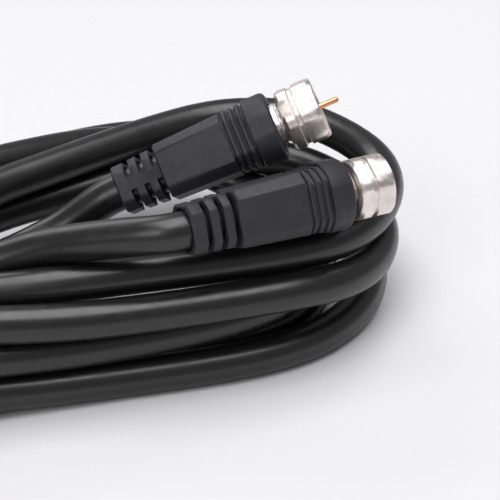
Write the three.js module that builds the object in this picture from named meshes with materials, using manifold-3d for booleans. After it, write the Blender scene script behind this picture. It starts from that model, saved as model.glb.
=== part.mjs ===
// Coil of coaxial patch cable: one length of cable wound into long turns, tied at the middle,
// with a moulded boot and a screw-on coaxial plug on each end.
// Millimetres, +Z up. The tie is at X = 0, the turns reach out along X, and the floor is Z = 0.
import * as THREE from "three";
import { mergeVertices } from "three/addons/utils/BufferGeometryUtils.js";
import Module from "manifold-3d";

const wasm = await Module();
wasm.setup();

// Cable
const jacketDiameter = 6.9;
const jacketSides = 10;
const layGap = 0.3;
const layer = jacketDiameter + layGap;
const floorHeight = jacketDiameter / 2;
const sweepStep = 8;

// Strap round the middle of the coil
const strapWidth = 8;
const strapThickness = 0.85;
const strapGap = 0.8;
const strapSides = 40;
const tieLift = strapThickness + strapGap;

// Centre conductor and the white insulation round it
const pinDiameter = 1.02;
const pinReach = [3.5, -0.6];
const insulationDiameter = 4.6;
const sleeveGap = 0.3;

// Boot, from its tail along the plug's axis
const bootLength = 31;
const tailLength = 2.4;
const tailWidth = 8.8;
const slotCount = 3;
const slotWidth = 1.1;
const finWidth = 1.5;
const webWidth = 2.2;
const neckWidth = 10.2;
const shoulderWidth = 11.2;
const edgeCut = 0.84;
const ringCount = 3;
const ringWidth = 0.95;
const ringSize = 11.4;
const grooveWidth = 0.4;
const grooveDepth = 0.65;
const collarLength = 4.6;
const collarSize = 12.8;
const collarEdge = 0.9;
const roundness = 1.045;
const bootBore = jacketDiameter + 3 * layGap;
const cableDepth = 19;

// Plug body, a turned metal sleeve that leaves the boot and carries the nut
const sleeveDiameter = 8.3;
const sleeveInBoot = 9;
const sleeveShown = [1.2, 1.2];
const sleeveSeatGap = 0.3;
const nutNeckDiameter = 6.2;
const flangeDiameter = 7.9;
const flangeLength = 1.2;

// Coupling nut: 11 mm across flats for the 3/8-32 thread
const nutAcrossFlats = 11;
const nutLength = 7;
const nutBackWall = 1.6;
const nutBore = 8.8;
const nutChamfer = 0.7;
const nutGroovePlace = 2.9;
const nutGrooveWidth = 0.9;
const nutGrooveDepth = 0.75;
const runningGap = 0.1;
const thrustGap = 0.3;
const roundSides = 40;

// Where each plug's boot begins, how far it turns from +X, how far it climbs and how it is rolled
const plugPlaces = [
  { letter: "a", tail: [37.8, -5.3, 29.2], turn: -15, climb: 22.5, roll: -35, nutRoll: 10 },
  { letter: "b", tail: [41.4, -28.7, 32.6], turn: 5.2, climb: -0.6, roll: 65, nutRoll: 0 },
];

// Each turn's strands where the tie holds them and a little way out, as [Y, Z], and its round end:
// the centre, and the reach and the height at five stations, 45 degrees apart, from the front
// strand round to the back one. Both ends of a turn are alike but for the strand that leads into
// the left one, which is given by its own points. The first turn wound is the first in the list.
const flankPlace = 24;
const endFan = 45;
const stationsPerFan = 2;
const leftShift = 0;
const turns = [
  {
    entry: [[-13, -4.6, 14], [-26, -10.2, 8.8], [-40, -16.6, 4.8]],
    front: [-16.1, floorHeight + tieLift],
    back: [5, floorHeight + tieLift],
    frontFlank: [-18.4, floorHeight],
    backFlank: [12.6, floorHeight],
    centre: [55.5, 0.3],
    reach: [21.2, 21.4, 21.6, 21.4, 21.2],
    height: [floorHeight, floorHeight, floorHeight, floorHeight, floorHeight],
  },
  {
    entry: [[-24, -17.2, floorHeight], [-38, -24.2, floorHeight]],
    front: [-23.4, floorHeight + tieLift],
    back: [20.6, 21],
    frontFlank: [-25.6, floorHeight],
    backFlank: [29.6, 20.4],
    centre: [57, 3.5],
    reach: [32.5, 32.5, 32.5, 33.2, 34.4],
    height: [floorHeight, floorHeight, 4.2, 9.6, 16.8],
  },
  {
    entry: [[-24, -24, 8.6], [-36, -25.4, 10.6]],
    front: [-23.6, floorHeight + tieLift + layer],
    back: [15, 25.6],
    frontFlank: [-25.2, floorHeight + layer],
    backFlank: [22.8, 24.8],
    centre: [50, 2.5],
    reach: [28.6, 28.6, 28.5, 28.4, 27.4],
    height: [10.65, 10.65, 10.65, 11.3, 20.2],
  },
  {
    entry: [[-24, -24.6, 15.8], [-38, -28, 17.8]],
    front: [-23.6, floorHeight + tieLift + 2 * layer],
    back: [10, 17.6],
    frontFlank: [-27.5, 17.7],
    backFlank: [16.6, 17.6],
    centre: [62, -3.5],
    reach: [28, 26.8, 26.8, 26.8, 24.4],
    height: [17.4, 14.5, 15.2, 17.4, 18.4],
  },
  {
    entry: [[-24, -24.6, 23.1], [-38, -26, 24.6]],
    front: [-15.6, 20.8],
    back: [6.6, 25],
    frontFlank: [-21.2, 21.9],
    backFlank: [14.4, 25.05],
    centre: [64, 0],
    reach: [26.3, 26.4, 28, 27, 25.2],
    height: [22.2, 21.8, 22.7, 25, 25.05],
  },
];
const leadSlots = [
  [-1.5, 16.6],
  [-8.2, 20.8],
];

// The two leads from the tie to the tails of their boots
const leadRoutes = [
  [[12.5, -1.9, 17.4], [26.3, -1.9, 21.5]],
  [[10, -10.4, 22.4], [19.5, -14.9, 26.3], [29, -22.3, 30]],
];

// The last end wound, over the others at the left and back through the bore to the second lead
const returnRoute = [
  [-24, -17.6, 25.6],
  [-36, -20.6, 31],
  [-48, -24, 32.5],
  [-62, -26, 32.5],
  [-76, -21.5, 32.5],
  [-86, -10.5, 32.5],
  [-89.5, 3, 32.5],
  [-84, 16, 32.5],
  [-72, 23.5, 32.5],
  [-58, 22.5, 32.4],
  [-47, 14.5, 30.6],
  [-38, 4, 26.6],
  [-28, -4, 23.6],
  [-13.5, -8, 21.2],
];

const radians = THREE.MathUtils.degToRad;

function material(color, roughness, metalness) {
  return new THREE.MeshStandardMaterial({ color, roughness, metalness });
}

const jacketBlack = material(0x17171a, 0.42, 0);
const bootRubber = material(0x2b2b2f, 0.62, 0);
const strapBlack = material(0x1b1b1d, 0.7, 0);
const nickel = material(0xc9c5c0, 0.22, 1);
const copper = material(0xc8754a, 0.28, 1);
const insulationWhite = material(0xefece4, 0.5, 0);

// A turned solid along +X from [place, radius] pairs that start and end on the axis
function turned(profile, sides) {
  const outline = profile.map(([place, radius]) => new THREE.Vector2(radius, place));
  const geometry = new THREE.LatheGeometry(outline, sides);
  geometry.rotateZ(-Math.PI / 2);
  return geometry;
}

function solid(geometry) {
  const bare = geometry.index ? geometry.toNonIndexed() : geometry.clone();
  bare.deleteAttribute("normal");
  bare.deleteAttribute("uv");
  const merged = mergeVertices(bare, 1e-4);
  const mesh = new wasm.Mesh({
    numProp: 3,
    vertProperties: new Float32Array(merged.attributes.position.array),
    triVerts: new Uint32Array(merged.index.array),
  });
  return new wasm.Manifold(mesh);
}

function geometryOf(manifold) {
  const mesh = manifold.getMesh();
  const geometry = new THREE.BufferGeometry();
  geometry.setAttribute("position", new THREE.BufferAttribute(new Float32Array(mesh.vertProperties), 3));
  geometry.setIndex(new THREE.BufferAttribute(new Uint32Array(mesh.triVerts), 1));
  const flat = geometry.toNonIndexed();
  flat.computeVertexNormals();
  return flat;
}

// A bore or bar of one radius along +X
function bar(from, to, radius, sides) {
  return solid(turned([[from, 0], [from, radius], [to, radius], [to, 0]], sides));
}

// The points of one round end; side is 1 for the right end and -1 for the left
function endPoints(turn, side) {
  const points = [];
  const count = (turn.reach.length - 1) * stationsPerFan;
  for (let index = 0; index <= count; index += 1) {
    const place = index / stationsPerFan;
    const low = Math.min(Math.floor(place), turn.reach.length - 2);
    const reach = THREE.MathUtils.lerp(turn.reach[low], turn.reach[low + 1], place - low);
    const height = THREE.MathUtils.lerp(turn.height[low], turn.height[low + 1], place - low);
    const angle = radians((place - 2) * endFan);
    const shift = side < 0 ? leftShift : 0;
    const x = side * (turn.centre[0] + shift + reach * Math.cos(angle));
    const y = turn.centre[1] + reach * Math.sin(angle);
    points.push(new THREE.Vector3(x, y, height));
  }
  return points;
}

function plugDirection(place) {
  const climb = radians(place.climb);
  const turn = radians(place.turn);
  return new THREE.Vector3(
    Math.cos(climb) * Math.cos(turn),
    Math.cos(climb) * Math.sin(turn),
    Math.sin(climb),
  );
}

// The straight stretch of cable from just before a boot to its end inside
function bootStretch(place) {
  const direction = plugDirection(place);
  return [-2.5, 2, cableDepth / 2, cableDepth].map((depth) =>
    new THREE.Vector3(...place.tail).addScaledVector(direction, depth));
}

// The whole cable, from the end in the first boot to the end in the second
function cablePoints() {
  const slot = ([y, z]) => new THREE.Vector3(0, y, z);
  const flank = ([y, z], side) => new THREE.Vector3(side * flankPlace, y, z);
  const listed = (points) => points.map((point) => new THREE.Vector3(...point));
  const route = [...bootStretch(plugPlaces[0]).reverse(), ...listed(leadRoutes[0]).reverse()];
  route.push(slot(leadSlots[0]));
  for (const turn of turns) {
    route.push(...listed(turn.entry), ...endPoints(turn, -1));
    route.push(flank(turn.backFlank, -1), slot(turn.back), flank(turn.backFlank, 1));
    route.push(...endPoints(turn, 1).reverse());
    route.push(flank(turn.frontFlank, 1), slot(turn.front));
  }
  route.push(...listed(returnRoute), slot(leadSlots[1]));
  route.push(...listed(leadRoutes[1]), ...bootStretch(plugPlaces[1]));
  return route;
}

function cableGeometry() {
  const path = new THREE.CatmullRomCurve3(cablePoints(), false, "centripetal");
  path.arcLengthDivisions = 4000;
  const section = new THREE.Shape();
  for (let side = 0; side < jacketSides; side += 1) {
    const angle = (side / jacketSides) * 2 * Math.PI;
    const x = (jacketDiameter / 2) * Math.cos(angle);
    const y = (jacketDiameter / 2) * Math.sin(angle);
    if (side === 0) section.moveTo(x, y);
    else section.lineTo(x, y);
  }
  const steps = Math.round(path.getLength() / sweepStep);
  return new THREE.ExtrudeGeometry(section, { steps, extrudePath: path, curveSegments: 1 });
}

// The strap's outline: straight where it spans, round where it bends over a strand
function strapOutline(clearance) {
  const slots = [...turns.flatMap((turn) => [turn.front, turn.back]), ...leadSlots];
  const support = (angle) =>
    Math.max(...slots.map(([y, z]) => y * Math.cos(angle) + z * Math.sin(angle))) +
    jacketDiameter / 2 + clearance;
  const step = (2 * Math.PI) / strapSides;
  const corners = [];
  for (let side = 0; side < strapSides; side += 1) {
    const here = side * step;
    const next = here + step;
    const a = support(here);
    const b = support(next);
    const y = (a * Math.sin(next) - b * Math.sin(here)) / Math.sin(step);
    const z = (b * Math.cos(here) - a * Math.cos(next)) / Math.sin(step);
    corners.push(new THREE.Vector2(y, z));
  }
  return corners;
}

function strapGeometry() {
  const shape = new THREE.Shape(strapOutline(strapGap + strapThickness));
  shape.holes.push(new THREE.Path(strapOutline(strapGap).reverse()));
  const geometry = new THREE.ExtrudeGeometry(shape, { depth: strapWidth, bevelEnabled: false });
  geometry.translate(0, 0, -strapWidth / 2);
  geometry.rotateY(Math.PI / 2);
  geometry.rotateX(Math.PI / 2);
  return geometry;
}

// A square bar whose corners are cut, growing along +X through [place, width] pairs
function squareBar(stations, cornerCut) {
  const profile = (share) => [
    [stations[0][0], 0],
    ...stations.map(([place, width]) => [place, (width / 2) * share * Math.SQRT2]),
    [stations[stations.length - 1][0], 0],
  ];
  const square = turned(profile(1), 4);
  square.rotateX(Math.PI / 4);
  return solid(square).intersect(solid(turned(profile(cornerCut * Math.SQRT2), 4)));
}

// The tail's fins, the grip that widens towards the rings, the rings and the collar
function bootGeometry() {
  const slotPitch = slotWidth + finWidth;
  const neckStart = tailLength + slotCount * slotPitch - finWidth;
  const collarStart = bootLength - collarLength;
  const ringPitch = ringWidth + grooveWidth;
  const ringsStart = collarStart - grooveWidth - ringCount * ringPitch;
  let boot = squareBar([
    [0, tailWidth],
    [tailLength, tailWidth],
    [neckStart, neckWidth - 0.6],
    [neckStart + 0.3, neckWidth],
    [ringsStart, shoulderWidth],
  ], edgeCut);
  const groove = ringSize - 2 * grooveDepth;
  boot = boot.add(squareBar([[ringsStart - 1, groove], [collarStart + 1, groove]], edgeCut * 0.96));
  for (let ring = 0; ring < ringCount; ring += 1) {
    const start = ringsStart + grooveWidth + ring * ringPitch;
    const ends = [[start, ringSize], [start + ringWidth, ringSize]];
    boot = boot.add(squareBar(ends, edgeCut * 0.96));
  }
  const collarProfile = [
    [collarStart, 0],
    [collarStart, (collarSize / 2) * roundness],
    [bootLength - collarEdge, (collarSize / 2) * roundness],
    [bootLength - collarEdge * 0.3, (collarSize / 2) * roundness - collarEdge * 0.3],
    [bootLength, (collarSize / 2) * roundness - collarEdge],
    [bootLength, 0],
  ];
  const flats = squareBar([[collarStart, collarSize], [bootLength, collarSize]], edgeCut);
  boot = boot.add(solid(turned(collarProfile, roundSides)).intersect(flats));
  for (let slot = 0; slot < slotCount; slot += 1) {
    const start = tailLength + slot * slotPitch;
    const ring = bar(start, start + slotWidth, neckWidth, roundSides);
    const web = new THREE.BoxGeometry(slotWidth * 3, neckWidth * 2.5, webWidth);
    web.translate(start, 0, 0);
    boot = boot.subtract(ring.subtract(solid(web)));
  }
  boot = boot.subtract(bar(-1, bootLength, bootBore / 2, roundSides));
  const socket = sleeveDiameter / 2 + sleeveSeatGap;
  boot = boot.subtract(bar(bootLength - sleeveInBoot, bootLength + 1, socket, roundSides));
  return geometryOf(boot);
}

// The plug body, from inside the boot to the flange that keeps the nut on; shown is the bare length
function sleeveGeometry(shown) {
  const start = bootLength - sleeveInBoot + sleeveSeatGap;
  const shoulder = bootLength + shown;
  const flangeStart = shoulder + thrustGap + nutBackWall + thrustGap;
  const bore = insulationDiameter / 2 + sleeveGap;
  const profile = [
    [start, 0],
    [start, sleeveDiameter / 2],
    [shoulder, sleeveDiameter / 2],
    [shoulder, nutNeckDiameter / 2],
    [flangeStart, nutNeckDiameter / 2],
    [flangeStart, flangeDiameter / 2],
    [flangeStart + flangeLength, flangeDiameter / 2],
    [flangeStart + flangeLength, 0],
  ];
  const body = solid(turned(profile, roundSides));
  return geometryOf(body.subtract(bar(start - 1, flangeStart + flangeLength + 1, bore, roundSides)));
}

function insulationGeometry(shown) {
  const start = bootLength - sleeveInBoot + sleeveSeatGap;
  const end = bootLength + shown + 2 * thrustGap + nutBackWall + flangeLength;
  const plug = bar(start, end, insulationDiameter / 2, 24);
  return geometryOf(plug.subtract(bar(start - 1, end + 1, pinDiameter / 2 + sleeveGap, 16)));
}

function pinGeometry(shown, reach) {
  const tip = bootLength + shown + thrustGap + nutLength + reach;
  const start = cableDepth + layGap;
  const point = pinDiameter * 0.35;
  const profile = [
    [start, 0],
    [start, pinDiameter / 2],
    [tip - point, pinDiameter / 2],
    [tip, pinDiameter / 2 - point * 0.6],
    [tip, 0],
  ];
  return turned(profile, 12);
}

// The nut from its back face at X = 0
function nutGeometry() {
  const corner = nutAcrossFlats / Math.sqrt(3);
  const hexagon = solid(turned([[0, 0], [0, corner], [nutLength, corner], [nutLength, 0]], 6));
  const chamfers = [
    [-0.1, 0],
    [-0.1, nutAcrossFlats / 2 - nutChamfer * 0.35],
    [nutChamfer, corner + 0.05],
    [nutLength - nutChamfer, corner + 0.05],
    [nutLength + 0.1, nutAcrossFlats / 2 - nutChamfer * 0.35],
    [nutLength + 0.1, 0],
  ];
  const grooveFloor = nutAcrossFlats / 2 - nutGrooveDepth;
  const grooveEdge = nutGroovePlace + nutGrooveWidth / 2;
  const grooveSlope = corner - grooveFloor + 0.5;
  const groove = solid(turned([
    [nutGroovePlace - nutGrooveWidth / 2, 0],
    [nutGroovePlace - nutGrooveWidth / 2, grooveFloor],
    [nutGroovePlace - nutGrooveWidth / 2 - grooveSlope * 0.25, grooveFloor + grooveSlope],
    [grooveEdge + grooveSlope * 0.25, grooveFloor + grooveSlope],
    [grooveEdge, grooveFloor],
    [grooveEdge, 0],
  ], roundSides)).subtract(bar(-1, nutLength + 1, grooveFloor, roundSides));
  let nut = hexagon.intersect(solid(turned(chamfers, roundSides))).subtract(groove);
  nut = nut.subtract(bar(nutBackWall, nutLength + 1, nutBore / 2, roundSides));
  nut = nut.subtract(bar(-1, nutBackWall + 1, nutNeckDiameter / 2 + runningGap, roundSides));
  return geometryOf(nut);
}

function named(name, geometry, look) {
  const mesh = new THREE.Mesh(geometry, look);
  mesh.name = name;
  return mesh;
}

function plug(place, number) {
  const shown = sleeveShown[number];
  const group = new THREE.Group();
  const boot = named(`boot_${place.letter}`, bootGeometry(), bootRubber);
  boot.rotation.x = radians(place.roll);
  const nut = named(`nut_${place.letter}`, nutGeometry(), nickel);
  nut.position.x = bootLength + shown + thrustGap;
  nut.rotation.x = radians(place.nutRoll);
  group.add(boot, nut);
  group.add(named(`plug_body_${place.letter}`, sleeveGeometry(shown), nickel));
  group.add(named(`insulation_${place.letter}`, insulationGeometry(shown), insulationWhite));
  group.add(named(`centre_pin_${place.letter}`, pinGeometry(shown, pinReach[number]), copper));
  group.rotation.set(0, -radians(place.climb), radians(place.turn), "ZYX");
  group.position.set(...place.tail);
  return group;
}

const coil = new THREE.Group();
coil.add(named("cable", cableGeometry(), jacketBlack));
coil.add(named("strap", strapGeometry(), strapBlack));
plugPlaces.forEach((place, number) => coil.add(plug(place, number)));

export default coil;
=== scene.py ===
# Looks for a strapped coil of coaxial cable with a boot and a screw-on plug on each end.
import math

import bmesh
import bpy
from mathutils import Matrix, Vector


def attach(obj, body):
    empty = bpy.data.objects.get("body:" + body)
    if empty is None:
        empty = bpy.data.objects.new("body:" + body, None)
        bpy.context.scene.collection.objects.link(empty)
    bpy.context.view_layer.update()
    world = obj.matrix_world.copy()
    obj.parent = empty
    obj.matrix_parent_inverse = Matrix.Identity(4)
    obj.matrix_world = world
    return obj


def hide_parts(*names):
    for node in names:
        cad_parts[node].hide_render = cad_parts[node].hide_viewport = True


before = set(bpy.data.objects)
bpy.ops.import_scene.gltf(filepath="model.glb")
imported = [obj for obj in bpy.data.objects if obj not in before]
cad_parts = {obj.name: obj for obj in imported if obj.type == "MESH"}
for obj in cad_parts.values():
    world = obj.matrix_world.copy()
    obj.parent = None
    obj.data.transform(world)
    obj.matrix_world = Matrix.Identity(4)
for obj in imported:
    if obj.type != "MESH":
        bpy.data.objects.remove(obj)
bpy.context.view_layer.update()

MM = 0.001

# Cable
JACKET = 6.9
LAYER = 7.2
FLOOR_HEIGHT = JACKET / 2
TUBE_SIDES = 28
SAMPLE_STEP = 2.2

# Strap
STRAP_WIDTH = 8
STRAP_THICKNESS = 0.85
STRAP_GAP = 0.8
TIE_LIFT = STRAP_THICKNESS + STRAP_GAP

# Boot, sleeve and nut, along the plug's axis from the boot's tail; the directions are in degrees
BOOT_LENGTH = 31
CABLE_DEPTH = 19
SLEEVE_SHOWN = 1.2
THRUST_GAP = 0.3
NUT_START = BOOT_LENGTH + SLEEVE_SHOWN + THRUST_GAP
NUT_LENGTH = 7
PLUGS = {
    "a": {
        "tail": (37.8, -5.3, 29.2),
        "turn": -15,
        "climb": 22.5,
        "roll": -35,
        "nut_roll": 10,
        "pin_reach": 3.5,
    },
    "b": {
        "tail": (41.4, -28.7, 32.6),
        "turn": 5.2,
        "climb": -0.6,
        "roll": 65,
        "nut_roll": 0,
        "pin_reach": -0.6,
    },
}


# Camera, in millimetres

SENSOR_WIDTH = 36
LENS = 133.2
CAMERA_PLACE = Vector((-52, -290.5, 189))
CAMERA_AIM = Vector((57.6, -19.1, 20))


def add_camera():
    data = bpy.data.cameras.new("camera")
    data.sensor_width = SENSOR_WIDTH
    data.lens = LENS
    data.clip_start = 10 * MM
    camera = bpy.data.objects.new("camera", data)
    bpy.context.collection.objects.link(camera)
    camera.location = CAMERA_PLACE * MM
    camera.rotation_euler = (CAMERA_AIM - CAMERA_PLACE).to_track_quat("-Z", "Y").to_euler()
    bpy.context.scene.camera = camera


# Cable route

FLANK_PLACE = 24
END_FAN = 45
STATIONS_PER_FAN = 2

# How deep in each boot the route's last points lie
BOOT_POINTS = (-2.5, 2, CABLE_DEPTH / 2, CABLE_DEPTH)

# Each turn's strands at the tie and a little way out, as (Y, Z), and its round end: the centre,
# and the reach and the height at five stations from the front strand round to the back one
TURNS = [
    {
        "entry": [(-13, -4.6, 14), (-26, -10.2, 8.8), (-40, -16.6, 4.8)],
        "front": (-16.1, FLOOR_HEIGHT + TIE_LIFT),
        "back": (5, FLOOR_HEIGHT + TIE_LIFT),
        "front_flank": (-18.4, FLOOR_HEIGHT),
        "back_flank": (12.6, FLOOR_HEIGHT),
        "centre": (55.5, 0.3),
        "reach": (21.2, 21.4, 21.6, 21.4, 21.2),
        "height": (FLOOR_HEIGHT,) * 5,
    },
    {
        "entry": [(-24, -17.2, FLOOR_HEIGHT), (-38, -24.2, FLOOR_HEIGHT)],
        "front": (-23.4, FLOOR_HEIGHT + TIE_LIFT),
        "back": (20.6, 21),
        "front_flank": (-25.6, FLOOR_HEIGHT),
        "back_flank": (29.6, 20.4),
        "centre": (57, 3.5),
        "reach": (32.5, 32.5, 32.5, 33.2, 34.4),
        "height": (FLOOR_HEIGHT, FLOOR_HEIGHT, 4.2, 9.6, 16.8),
    },
    {
        "entry": [(-24, -24, 8.6), (-36, -25.4, 10.6)],
        "front": (-23.6, FLOOR_HEIGHT + TIE_LIFT + LAYER),
        "back": (15, 25.6),
        "front_flank": (-25.2, FLOOR_HEIGHT + LAYER),
        "back_flank": (22.8, 24.8),
        "centre": (50, 2.5),
        "reach": (28.6, 28.6, 28.5, 28.4, 27.4),
        "height": (10.65, 10.65, 10.65, 11.3, 20.2),
    },
    {
        "entry": [(-24, -24.6, 15.8), (-38, -28, 17.8)],
        "front": (-23.6, FLOOR_HEIGHT + TIE_LIFT + 2 * LAYER),
        "back": (10, 17.6),
        "front_flank": (-27.5, 17.7),
        "back_flank": (16.6, 17.6),
        "centre": (62, -3.5),
        "reach": (28, 26.8, 26.8, 26.8, 24.4),
        "height": (17.4, 14.5, 15.2, 17.4, 18.4),
    },
    {
        "entry": [(-24, -24.6, 23.1), (-38, -26, 24.6)],
        "front": (-15.6, 20.8),
        "back": (6.6, 25),
        "front_flank": (-21.2, 21.9),
        "back_flank": (14.4, 25.05),
        "centre": (64, 0),
        "reach": (26.3, 26.4, 28, 27, 25.2),
        "height": (22.2, 21.8, 22.7, 25, 25.05),
    },
]
LEAD_SLOTS = [(-1.5, 16.6), (-8.2, 20.8)]
LEAD_ROUTES = [
    [(12.5, -1.9, 17.4), (26.3, -1.9, 21.5)],
    [(10, -10.4, 22.4), (19.5, -14.9, 26.3), (29, -22.3, 30)],
]
RETURN_ROUTE = [
    (-24, -17.6, 25.6),
    (-36, -20.6, 31),
    (-48, -24, 32.5),
    (-62, -26, 32.5),
    (-76, -21.5, 32.5),
    (-86, -10.5, 32.5),
    (-89.5, 3, 32.5),
    (-84, 16, 32.5),
    (-72, 23.5, 32.5),
    (-58, 22.5, 32.4),
    (-47, 14.5, 30.6),
    (-38, 4, 26.6),
    (-28, -4, 23.6),
    (-13.5, -8, 21.2),
]


def plug_frame(letter):
    """The plug's own frame, +X along its axis from the boot's tail, in millimetres."""
    plug = PLUGS[letter]
    turn = Matrix.Rotation(math.radians(plug["turn"]), 4, "Z")
    climb = Matrix.Rotation(-math.radians(plug["climb"]), 4, "Y")
    return Matrix.Translation(plug["tail"]) @ turn @ climb


def end_points(turn, side):
    points = []
    spans = len(turn["reach"]) - 1
    for index in range(spans * STATIONS_PER_FAN + 1):
        place = index / STATIONS_PER_FAN
        low = min(int(place), spans - 1)
        part = place - low
        reach = turn["reach"][low] * (1 - part) + turn["reach"][low + 1] * part
        height = turn["height"][low] * (1 - part) + turn["height"][low + 1] * part
        angle = math.radians((place - 2) * END_FAN)
        x = side * (turn["centre"][0] + reach * math.cos(angle))
        points.append((x, turn["centre"][1] + reach * math.sin(angle), height))
    return points


def boot_stretch(letter):
    stand = plug_frame(letter)
    return [tuple(stand @ Vector((x, 0, 0))) for x in BOOT_POINTS]


def cable_points():
    route = boot_stretch("a")[::-1] + LEAD_ROUTES[0][::-1] + [(0, *LEAD_SLOTS[0])]
    for turn in TURNS:
        route += turn["entry"] + end_points(turn, -1)
        route += [(-FLANK_PLACE, *turn["back_flank"]), (0, *turn["back"])]
        route.append((FLANK_PLACE, *turn["back_flank"]))
        route += end_points(turn, 1)[::-1]
        route += [(FLANK_PLACE, *turn["front_flank"]), (0, *turn["front"])]
    route += RETURN_ROUTE + [(0, *LEAD_SLOTS[1])] + LEAD_ROUTES[1] + boot_stretch("b")
    return [Vector(point) for point in route]


def smooth_line(points, step):
    """Points along a centripetal curve through the given ones, about step apart."""
    padded = [points[0] * 2 - points[1], *points, points[-1] * 2 - points[-2]]
    line = []
    for before, start, end, after in zip(padded, padded[1:], padded[2:], padded[3:]):
        first, middle, last = (
            max(1e-4, (b - a).length) ** 0.5 for a, b in ((before, start), (start, end), (end, after))
        )
        leave = (start - before) / first - (end - before) / (first + middle) + (end - start) / middle
        arrive = (end - start) / middle - (after - start) / (middle + last) + (after - end) / last
        leave, arrive = leave * middle, arrive * middle
        count = max(1, round((end - start).length / step))
        for index in range(count):
            t = index / count
            line.append(
                start * (2 * t**3 - 3 * t**2 + 1)
                + leave * (t**3 - 2 * t**2 + t)
                + end * (3 * t**2 - 2 * t**3)
                + arrive * (t**3 - t**2)
            )
    return [*line, points[-1].copy()]


def tube(name, line, radius, sides):
    """A closed round tube along the line, with its length along V and its girth along U."""
    rings, lengths = [], [0.0]
    ahead = (line[1] - line[0]).normalized()
    side = ahead.cross(Vector((0, 0, 1))).normalized()
    for index, point in enumerate(line):
        if index:
            lengths.append(lengths[-1] + (point - line[index - 1]).length)
            new = (line[min(index + 1, len(line) - 1)] - line[index - 1]).normalized()
            side = ahead.rotation_difference(new) @ side
            side = (side - new * side.dot(new)).normalized()
            ahead = new
        over = ahead.cross(side)
        rings.append([
            point + (side * math.cos(a) + over * math.sin(a)) * radius
            for a in (2 * math.pi * k / sides for k in range(sides))
        ])
    vertices = [v for ring in rings for v in ring]
    faces, uvs = [], []
    for row in range(len(rings) - 1):
        for k in range(sides):
            n = (k + 1) % sides
            here, onward = row * sides, (row + 1) * sides
            faces.append((here + k, here + n, onward + n, onward + k))
            low, high = lengths[row], lengths[row + 1]
            left, right = k / sides, (k + 1) / sides
            uvs.append([(left, low), (right, low), (right, high), (left, high)])
    last = (len(rings) - 1) * sides
    faces.append(tuple(range(sides))[::-1])
    faces.append(tuple(last + k for k in range(sides)))
    uvs += [[(0.5, 0)] * sides, [(0.5, lengths[-1])] * sides]
    mesh = bpy.data.meshes.new(name)
    mesh.from_pydata(vertices, [], faces)
    layer = mesh.uv_layers.new(name="along")
    for polygon, corners in zip(mesh.polygons, uvs):
        for loop, uv in zip(polygon.loop_indices, corners):
            layer.data[loop].uv = uv
    mesh.polygons.foreach_set("use_smooth", [True] * len(mesh.polygons))
    piece = bpy.data.objects.new(name, mesh)
    bpy.context.collection.objects.link(piece)
    outward(piece)
    return piece


def outward(piece):
    shape = bmesh.new()
    shape.from_mesh(piece.data)
    bmesh.ops.recalc_face_normals(shape, faces=shape.faces)
    shape.to_mesh(piece.data)
    shape.free()


def only(piece):
    bpy.ops.object.select_all(action="DESELECT")
    piece.select_set(True)
    bpy.context.view_layer.objects.active = piece


def smooth(piece, degrees=32):
    only(piece)
    bpy.ops.object.shade_smooth_by_angle(angle=math.radians(degrees))


def add_cable():
    line = [point * MM for point in smooth_line(cable_points(), SAMPLE_STEP)]
    cable = tube("jacket", line, JACKET / 2 * MM, TUBE_SIDES)
    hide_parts("cable")
    length = sum((b - a).length for a, b in zip(line, line[1:]))
    return cable, line, length


# Solids grown ring by ring along a plug's axis


def chamfered(half, corner, most):
    """A square of that half width with its corners cut, and nothing further out than most."""

    def reach(angle):
        c, s = abs(math.cos(angle)), abs(math.sin(angle))
        return min(half / max(c, s), half * corner / (c + s), most)

    return reach


def hexagon(half, most):
    def reach(angle):
        fold = (angle + math.pi / 6) % (math.pi / 3) - math.pi / 6
        return min(half / math.cos(fold), most)

    return reach


def circle(radius):
    return lambda angle: radius


def ring_across(name, sides, fill):
    """A ring of that many corners round the X axis."""
    quarter = (0, math.pi / 2, 0)
    bpy.ops.object.select_all(action="DESELECT")
    bpy.ops.mesh.primitive_circle_add(vertices=sides, radius=1, fill_type=fill, rotation=quarter)
    ring = bpy.context.object
    ring.name = name
    bpy.ops.object.transform_apply(location=True, rotation=True, scale=True)
    return ring


def grown(name, stations, sides):
    """A solid along +X through (place, section) stations."""
    piece = ring_across(name, sides, "NGON")
    bpy.ops.object.mode_set(mode="EDIT")
    bpy.ops.mesh.select_all(action="SELECT")
    for index, (place, section) in enumerate(stations):
        if index:
            bpy.ops.mesh.extrude_region_move()
        shape = bmesh.from_edit_mesh(piece.data)
        for vertex in shape.verts:
            if vertex.select:
                angle = math.atan2(vertex.co.z, vertex.co.y)
                reach = section(angle)
                vertex.co = (place, reach * math.cos(angle), reach * math.sin(angle))
        bmesh.update_edit_mesh(piece.data)
    bpy.ops.mesh.select_all(action="SELECT")
    bpy.ops.mesh.normals_make_consistent(inside=False)
    bpy.ops.object.mode_set(mode="OBJECT")
    return piece


def rod(name, start, end, radius, sides):
    return grown(name, [(start, circle(radius)), (end, circle(radius))], sides)


def cut(piece, cutter):
    """Takes the cutter's shape out of the piece."""
    only(piece)
    modifier = piece.modifiers.new("cut", "BOOLEAN")
    modifier.operation = "DIFFERENCE"
    modifier.solver = "EXACT"
    modifier.object = cutter
    bpy.ops.object.modifier_apply(modifier=modifier.name)
    bpy.data.objects.remove(cutter)


def set_in_place(piece, letter, roll, along=0.0):
    rolled = Matrix.Rotation(math.radians(roll), 4, "X")
    place = plug_frame(letter) @ Matrix.Translation((along, 0, 0)) @ rolled
    piece.data.transform(Matrix.Diagonal((MM, MM, MM, 1)) @ place)
    piece.data.update()


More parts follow.
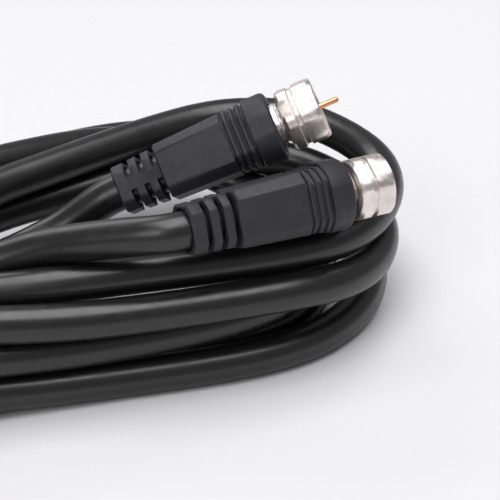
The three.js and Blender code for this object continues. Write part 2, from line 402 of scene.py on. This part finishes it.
def box(low, high):
    bpy.ops.object.select_all(action="DESELECT")
    bpy.ops.mesh.primitive_cube_add(size=1)
    piece = bpy.context.object
    size = [end - start for start, end in zip(low, high)]
    middle = [(start + end) / 2 for start, end in zip(low, high)]
    piece.data.transform(Matrix.Translation(middle) @ Matrix.Diagonal((*size, 1)))
    return piece


# Boot

TAIL_LENGTH = 2.4
SLOT_WIDTH = 1.1
FIN_WIDTH = 1.5
WEB_WIDTH = 2.2
NECK_START = TAIL_LENGTH + 3 * (SLOT_WIDTH + FIN_WIDTH) - FIN_WIDTH
COLLAR_START = BOOT_LENGTH - 4.6
RING_WIDTH = 0.95
GROOVE_WIDTH = 0.4
RING_PITCH = RING_WIDTH + GROOVE_WIDTH
RINGS_START = COLLAR_START - GROOVE_WIDTH - 3 * RING_PITCH


TAIL_HALF = 4.45
NECK_HALF = 5.15
SHOULDER_HALF = 5.6
RING_HALF = 5.66
RING_GROWTH = 0.1
RING_ROUNDNESS = 1.16
COLLAR_HALF = 6.4
COLLAR_REACH = 6.69
GRIP_CUT = 1.68
RING_CUT = 1.62
CLEAR = 9
CABLE_BORE = 3.85
SOCKET_RADIUS = 4.4
SOCKET_DEPTH = 9

# Across one ring: (place, how far out from the ring's full size)
RING_PROFILE = [
    (0.02 - GROOVE_WIDTH, -0.5),
    (-0.03, -0.5),
    (0.08, -0.14),
    (0.28, 0),
    (0.67, 0),
    (0.87, -0.14),
    (RING_WIDTH, -0.5),
]


def boot_stations():
    stations = [
        (0, chamfered(TAIL_HALF - 0.35, RING_CUT, CLEAR)),
        (0.3, chamfered(TAIL_HALF - 0.05, RING_CUT, CLEAR)),
        (TAIL_LENGTH, chamfered(TAIL_HALF, RING_CUT, CLEAR)),
        (NECK_START - 0.1, chamfered(NECK_HALF - 0.35, 1.64, CLEAR)),
        (NECK_START, chamfered(NECK_HALF - 0.3, 1.64, CLEAR)),
        (NECK_START + 0.3, chamfered(NECK_HALF, GRIP_CUT, CLEAR)),
        (RINGS_START - 0.1, chamfered(SHOULDER_HALF, GRIP_CUT, CLEAR)),
        (RINGS_START, chamfered(SHOULDER_HALF - 0.08, GRIP_CUT, CLEAR)),
    ]
    for ring in range(3):
        start = RINGS_START + GROOVE_WIDTH + ring * RING_PITCH
        full = RING_HALF + ring * RING_GROWTH
        for place, out in RING_PROFILE:
            half = full + out
            stations.append((start + place, chamfered(half, RING_CUT, half * RING_ROUNDNESS)))
    return stations + [
        (COLLAR_START - 0.02, chamfered(5.4, RING_CUT, 6.2)),
        (COLLAR_START, chamfered(COLLAR_HALF - 0.2, GRIP_CUT, COLLAR_REACH - 0.19)),
        (COLLAR_START + 0.2, chamfered(COLLAR_HALF, GRIP_CUT, COLLAR_REACH)),
        (BOOT_LENGTH - 1, chamfered(COLLAR_HALF, GRIP_CUT, COLLAR_REACH)),
        (BOOT_LENGTH - 0.45, chamfered(COLLAR_HALF - 0.15, GRIP_CUT, COLLAR_REACH - 0.19)),
        (BOOT_LENGTH - 0.12, chamfered(COLLAR_HALF - 0.55, GRIP_CUT, COLLAR_REACH - 0.59)),
        (BOOT_LENGTH, chamfered(COLLAR_HALF - 0.95, GRIP_CUT, COLLAR_REACH - 0.99)),
    ]


def add_boot(letter):
    boot = grown(f"moulded_boot_{letter}", boot_stations(), 96)
    for slot in range(3):
        start = TAIL_LENGTH + slot * (SLOT_WIDTH + FIN_WIDTH)
        for side in (-1, 1):
            inner, outer = sorted((side * WEB_WIDTH / 2, side * CLEAR))
            cut(boot, box((start, -CLEAR, inner), (start + SLOT_WIDTH, CLEAR, outer)))
    cut(boot, rod("bore", -1, CABLE_DEPTH + 3, CABLE_BORE, 48))
    cut(boot, rod("socket", BOOT_LENGTH - SOCKET_DEPTH, BOOT_LENGTH + 1, SOCKET_RADIUS, 48))
    only(boot)
    bevel = boot.modifiers.new("edge", "BEVEL")
    bevel.width = 0.12
    bevel.segments = 2
    bevel.limit_method = "ANGLE"
    bevel.angle_limit = math.radians(50)
    bpy.ops.object.modifier_apply(modifier=bevel.name)
    smooth(boot, 30)
    set_in_place(boot, letter, PLUGS[letter]["roll"])
    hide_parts(f"boot_{letter}")
    return boot


# Plug


SLEEVE_RADIUS = 4.1
CRIMP_FLAT = 3.75
RIM_FLAT = 3.85
RIM_CORNER = 4.15
WAIST_RADIUS = 3.6
NECK_RADIUS = 3.1
FLANGE_RADIUS = 3.95
FLANGE_START = 2.2
FLANGE_END = 3.3
SLEEVE_BORE = 2.6
SLEEVE_ROLL = 8


def add_sleeve(letter):
    front = BOOT_LENGTH + SLEEVE_SHOWN
    stations = [
        (BOOT_LENGTH - 8.7, circle(SLEEVE_RADIUS)),
        (BOOT_LENGTH - 0.5, circle(SLEEVE_RADIUS)),
        (BOOT_LENGTH + 0.1, hexagon(CRIMP_FLAT, SLEEVE_RADIUS)),
        (BOOT_LENGTH + 0.75, hexagon(CRIMP_FLAT, SLEEVE_RADIUS)),
        (BOOT_LENGTH + 0.85, circle(WAIST_RADIUS)),
        (BOOT_LENGTH + 1.05, circle(WAIST_RADIUS)),
        (BOOT_LENGTH + 1.15, hexagon(RIM_FLAT, RIM_CORNER)),
        (front, hexagon(RIM_FLAT, RIM_CORNER)),
        (front + 0.02, circle(NECK_RADIUS)),
        (front + FLANGE_START, circle(NECK_RADIUS)),
        (front + FLANGE_START, circle(FLANGE_RADIUS)),
        (front + FLANGE_END, circle(FLANGE_RADIUS)),
        (front + FLANGE_END + 0.1, circle(FLANGE_RADIUS - 0.15)),
    ]
    sleeve = grown(f"crimped_sleeve_{letter}", stations, 72)
    cut(sleeve, rod("bore", BOOT_LENGTH - 10, front + 5, SLEEVE_BORE, 32))
    smooth(sleeve, 28)
    set_in_place(sleeve, letter, SLEEVE_ROLL)
    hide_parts(f"plug_body_{letter}")
    return sleeve


NUT_FLAT = 5.5
NUT_CORNER = 6.0
NUT_EDGE = 5.3
NUT_GROOVE_FLAT = 5.2
NUT_GROOVE_CORNER = 5.45
NUT_BACK_WALL = 1.6
NUT_NECK = 3.2
THREAD_RADIUS = 4.4
THREAD_DEPTH = 0.35
THREAD_START = 2.6
THREAD_PITCH = 0.79
THREAD_WIDTH = 0.5


def nut_stations():
    return [
        (0, hexagon(NUT_FLAT, NUT_EDGE)),
        (0.12, hexagon(NUT_FLAT, 5.45)),
        (0.6, hexagon(NUT_FLAT, NUT_CORNER)),
        (2.25, hexagon(NUT_FLAT, NUT_CORNER)),
        (2.5, hexagon(NUT_GROOVE_FLAT, NUT_GROOVE_CORNER)),
        (3.15, hexagon(NUT_GROOVE_FLAT, NUT_GROOVE_CORNER)),
        (3.4, hexagon(NUT_FLAT, NUT_CORNER)),
        (6.2, hexagon(NUT_FLAT, NUT_CORNER)),
        (6.8, hexagon(NUT_FLAT, 5.65)),
        (NUT_LENGTH, hexagon(NUT_FLAT, NUT_EDGE)),
    ]


def thread_stations():
    stations = [(NUT_BACK_WALL, circle(THREAD_RADIUS))]
    start = THREAD_START
    while start + THREAD_WIDTH < NUT_LENGTH:
        stations += [
            (start, circle(THREAD_RADIUS)),
            (start + THREAD_WIDTH / 2, circle(THREAD_RADIUS + THREAD_DEPTH)),
            (start + THREAD_WIDTH, circle(THREAD_RADIUS)),
        ]
        start += THREAD_PITCH
    return stations + [(NUT_LENGTH - 0.35, circle(4.45)), (NUT_LENGTH + 0.1, circle(4.85))]


def add_nut(letter):
    nut = grown(f"coupling_nut_{letter}", nut_stations(), 96)
    cut(nut, grown("thread", thread_stations(), 64))
    cut(nut, rod("neck", -1, 2, NUT_NECK, 48))
    smooth(nut, 24)
    set_in_place(nut, letter, PLUGS[letter]["nut_roll"], NUT_START)
    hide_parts(f"nut_{letter}")
    return nut


PIN_RADIUS = 0.51


def add_pin(letter):
    tip = NUT_START + NUT_LENGTH + PLUGS[letter]["pin_reach"]
    stations = [
        (CABLE_DEPTH + 0.3, circle(PIN_RADIUS)),
        (tip - 0.3, circle(PIN_RADIUS)),
        (tip - 0.1, circle(PIN_RADIUS - 0.09)),
        (tip, circle(PIN_RADIUS - 0.21)),
    ]
    pin = grown(f"copper_pin_{letter}", stations, 24)
    smooth(pin, 40)
    set_in_place(pin, letter, 0)
    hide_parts(f"centre_pin_{letter}")
    return pin


# Strap


def strap_outline(clearance, sides):
    slots = [turn[key] for turn in TURNS for key in ("front", "back")] + LEAD_SLOTS
    step = 2 * math.pi / sides

    def support(angle):
        far = max(y * math.cos(angle) + z * math.sin(angle) for y, z in slots)
        return far + JACKET / 2 + clearance

    corners = []
    for side in range(sides):
        here, onward = side * step, (side + 1) * step
        a, b = support(here), support(onward)
        corners.append((
            (a * math.sin(onward) - b * math.sin(here)) / math.sin(step),
            (b * math.cos(here) - a * math.cos(onward)) / math.sin(step),
        ))
    return corners


def add_strap():
    sides = 96
    strap = ring_across("tie_band", sides, "NOTHING")
    ring = sorted(strap.data.vertices, key=lambda v: math.atan2(v.co.z, v.co.y) % (2 * math.pi))
    for vertex, (y, z) in zip(ring, strap_outline(STRAP_GAP, sides)):
        vertex.co = (-STRAP_WIDTH / 2, y, z)
    bpy.ops.object.mode_set(mode="EDIT")
    bpy.ops.mesh.select_all(action="SELECT")
    bpy.ops.mesh.extrude_region_move(TRANSFORM_OT_translate={"value": (STRAP_WIDTH, 0, 0)})
    bpy.ops.mesh.select_all(action="SELECT")
    bpy.ops.mesh.normals_make_consistent(inside=False)
    bpy.ops.object.mode_set(mode="OBJECT")
    wall = {"thickness": STRAP_THICKNESS, "offset": 1.0, "use_even_offset": True}
    edge = {"width": 0.25, "segments": 3, "limit_method": "ANGLE", "angle_limit": math.radians(60)}
    for name, kind, values in (("wall", "SOLIDIFY", wall), ("edge", "BEVEL", edge)):
        modifier = strap.modifiers.new(name, kind)
        for key, value in values.items():
            setattr(modifier, key, value)
        bpy.ops.object.modifier_apply(modifier=modifier.name)
    strap.data.transform(Matrix.Diagonal((MM, MM, MM, 1)))
    smooth(strap, 35)
    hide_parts("strap")
    return strap


# Materials


def material(name, base, roughness, metallic=0.0):
    made = bpy.data.materials.new(name)
    made.use_nodes = True
    tree = made.node_tree
    shader = tree.nodes["Principled BSDF"]
    shader.inputs["Base Color"].default_value = (*base, 1)
    shader.inputs["Roughness"].default_value = roughness
    shader.inputs["Metallic"].default_value = metallic
    return made, tree, shader


def noise(tree, scale, detail=4.0, stretch=(1, 1, 1)):
    place = tree.nodes.new("ShaderNodeTexCoord")
    mapping = tree.nodes.new("ShaderNodeMapping")
    mapping.inputs["Scale"].default_value = stretch
    texture = tree.nodes.new("ShaderNodeTexNoise")
    texture.inputs["Scale"].default_value = scale
    texture.inputs["Detail"].default_value = detail
    tree.links.new(place.outputs["Object"], mapping.inputs["Vector"])
    tree.links.new(mapping.outputs["Vector"], texture.inputs["Vector"])
    return texture.outputs["Fac"]


def ranged(tree, value, low, high, start=0.3, end=0.7):
    node = tree.nodes.new("ShaderNodeMapRange")
    node.inputs["From Min"].default_value = start
    node.inputs["From Max"].default_value = end
    node.inputs["To Min"].default_value = low
    node.inputs["To Max"].default_value = high
    tree.links.new(value, node.inputs["Value"])
    return node.outputs["Result"]


def tinted(tree, value, first, second):
    ramp = tree.nodes.new("ShaderNodeValToRGB")
    ramp.color_ramp.elements[0].position = 0.3
    ramp.color_ramp.elements[1].position = 0.7
    ramp.color_ramp.elements[0].color = (*first, 1)
    ramp.color_ramp.elements[1].color = (*second, 1)
    tree.links.new(value, ramp.inputs["Fac"])
    return ramp.outputs["Color"]


def clouded(tree, shader, value, first, second):
    tree.links.new(tinted(tree, value, first, second), shader.inputs["Base Color"])


def bumped(tree, shader, heights):
    """Chains (height, strength, distance in millimetres) bumps into the shader."""
    normal = None
    for height, strength, distance in heights:
        bump = tree.nodes.new("ShaderNodeBump")
        bump.inputs["Strength"].default_value = strength
        bump.inputs["Distance"].default_value = distance * MM
        tree.links.new(height, bump.inputs["Height"])
        if normal:
            tree.links.new(normal, bump.inputs["Normal"])
        normal = bump.outputs["Normal"]
    tree.links.new(normal, shader.inputs["Normal"])


def jacket_vinyl():
    made, tree, shader = material("jacket_vinyl", (0.009, 0.009, 0.009), 0.4)
    shader.inputs["Specular IOR Level"].default_value = 0.6
    clouded(tree, shader, noise(tree, 90, 3), (0.006, 0.006, 0.0065), (0.009, 0.009, 0.0095))
    tree.links.new(ranged(tree, noise(tree, 420, 4), 0.27, 0.36), shader.inputs["Roughness"])
    fine = noise(tree, 3200, 3)
    lumps = noise(tree, 110, 2)
    bumped(tree, shader, [(lumps, 0.25, 0.12), (fine, 0.12, 0.02)])
    return made


def boot_rubber():
    made, tree, shader = material("boot_rubber", (0.014, 0.014, 0.016), 0.5)
    shader.inputs["Specular IOR Level"].default_value = 0.4
    clouded(tree, shader, noise(tree, 160, 4), (0.020, 0.020, 0.024), (0.028, 0.028, 0.033))
    tree.links.new(ranged(tree, noise(tree, 900, 4), 0.46, 0.6), shader.inputs["Roughness"])
    bumped(tree, shader, [(noise(tree, 2600, 5), 0.35, 0.05), (noise(tree, 250, 3), 0.2, 0.08)])
    return made


def strap_plastic():
    made, tree, shader = material("strap_plastic", (0.014, 0.014, 0.015), 0.5)
    clouded(tree, shader, noise(tree, 200, 3), (0.012, 0.012, 0.013), (0.018, 0.018, 0.019))
    tree.links.new(ranged(tree, noise(tree, 700, 3), 0.45, 0.6), shader.inputs["Roughness"])
    bumped(tree, shader, [(noise(tree, 1500, 4, (0.1, 1, 1)), 0.3, 0.05)])
    return made


def nickel_plate():
    made, tree, shader = material("nickel_plate", (0.9, 0.84, 0.8), 0.26, 1.0)
    clouded(tree, shader, noise(tree, 260, 4), (0.92, 0.82, 0.77), (0.66, 0.63, 0.62))
    tree.links.new(ranged(tree, noise(tree, 1400, 5), 0.28, 0.46), shader.inputs["Roughness"])
    bumped(tree, shader, [(noise(tree, 1700, 5), 0.22, 0.03), (noise(tree, 420, 3), 0.12, 0.04)])
    return made


def bare_copper():
    made, tree, shader = material("bare_copper", (0.8, 0.36, 0.2), 0.28, 1.0)
    clouded(tree, shader, noise(tree, 900, 3), (0.86, 0.40, 0.22), (0.70, 0.28, 0.15))
    tree.links.new(ranged(tree, noise(tree, 1800, 3), 0.2, 0.38), shader.inputs["Roughness"])
    bumped(tree, shader, [(noise(tree, 900, 3, (0.2, 1, 1)), 0.2, 0.03)])
    return made


def white_insulation():
    made, tree, shader = material("white_insulation", (0.82, 0.8, 0.75), 0.5)
    clouded(tree, shader, noise(tree, 500, 3), (0.84, 0.82, 0.78), (0.76, 0.73, 0.68))
    bumped(tree, shader, [(noise(tree, 1500, 3), 0.3, 0.05)])
    return made


def floor_paper():
    made, tree, shader = material("floor_paper", (0.7, 0.693, 0.708), 0.95)
    shader.inputs["Specular IOR Level"].default_value = 0.1
    clouded(tree, shader, noise(tree, 3, 2), (0.697, 0.69, 0.704), (0.703, 0.696, 0.711))
    return made


def clad(piece, finish):
    piece.data.materials.clear()
    piece.data.materials.append(finish)


# Stage


def add_floor(finish):
    bpy.ops.object.select_all(action="DESELECT")
    bpy.ops.mesh.primitive_plane_add(size=8)
    floor = bpy.context.object
    floor.name = "floor"
    clad(floor, finish)


def add_light(name, place, aim, size, power, colour=(1, 1, 1)):
    """A soft box light; places and sizes in metres, power in watts."""
    data = bpy.data.lights.new(name, "AREA")
    data.shape = "RECTANGLE"
    data.size, data.size_y = size
    data.energy = power
    data.color = colour
    light = bpy.data.objects.new(name, data)
    bpy.context.collection.objects.link(light)
    light.location = place
    light.rotation_euler = (Vector(aim) - Vector(place)).to_track_quat("-Z", "Y").to_euler()


def add_world():
    world = bpy.data.worlds.new("studio")
    bpy.context.scene.world = world
    world.use_nodes = True
    back = world.node_tree.nodes["Background"]
    back.inputs["Color"].default_value = (0.95, 0.95, 1.0, 1)
    back.inputs["Strength"].default_value = 0.3


add_camera()
cable, cable_line, cable_length = add_cable()
strap = add_strap()

nickel, rubber, copper = nickel_plate(), boot_rubber(), bare_copper()
clad(cable, jacket_vinyl())
clad(strap, strap_plastic())
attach(cable, "coil")
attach(strap, "coil")
for letter in PLUGS:
    boot, sleeve, nut, pin = add_boot(letter), add_sleeve(letter), add_nut(letter), add_pin(letter)
    for piece, body, slot, finish in (
        (boot, "coil", "boot", rubber),
        (sleeve, "coil", "nickel", nickel),
        (nut, f"coupling_nut_{letter}", "nickel", nickel),
        (pin, "coil", "copper", copper),
    ):
        clad(piece, finish)
        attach(piece, body)

insulation = white_insulation()
for node in ("insulation_a", "insulation_b"):
    made = bpy.data.objects[node]
    for slot in made.material_slots:
        slot.material = insulation

add_floor(floor_paper())
add_world()
add_light("overhead", (0.1, -0.1, 1.0), (0.05, -0.1, 0), (1.0, 0.8), 11)
add_light("from_behind", (-0.4, 1.9, 1.35), (0.05, -0.3, 0.02), (1.6, 0.9), 12)
add_light("from_front", (-0.7, -0.6, 0.7), (0.05, 0, 0.02), (0.5, 0.5), 3, (1, 0.97, 0.95))
bpy.context.scene.view_settings.view_transform = "Standard"
